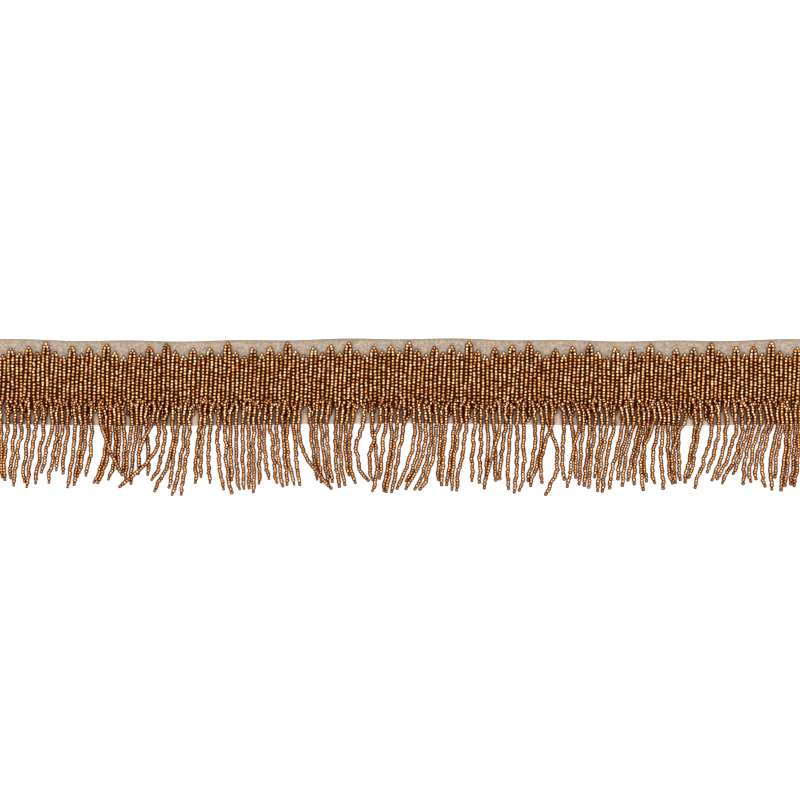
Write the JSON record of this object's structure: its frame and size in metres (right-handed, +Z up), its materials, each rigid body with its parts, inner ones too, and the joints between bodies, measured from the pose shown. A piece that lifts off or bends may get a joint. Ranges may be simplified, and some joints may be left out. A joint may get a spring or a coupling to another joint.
{
  "type": "beaded fringe trim",
  "caption": "Straight cut length of trim: a soft tape covered with side-by-side loops of metallic seed beads, edged with a fringe of loose bead strands.",
  "frame": {"origin": "centre of the tape's flat back face, on the surface that the trim lies on", "axes": "+X along the trim, +Y across it towards the tape's free edge, away from the fringe, +Z up out of the beaded face"},
  "size_m": [0.45, 0.0889, 0.0087],
  "materials": {
    "tape": "matt beige woven tape",
    "beads": "bronze metallic seed beads, opaque and glossy"
  },
  "bodies": {
    "root": {"backing_tape": "tape", "bead_rows": "beads", "bead_fringe": "beads"}
  },
  "joints": []
}
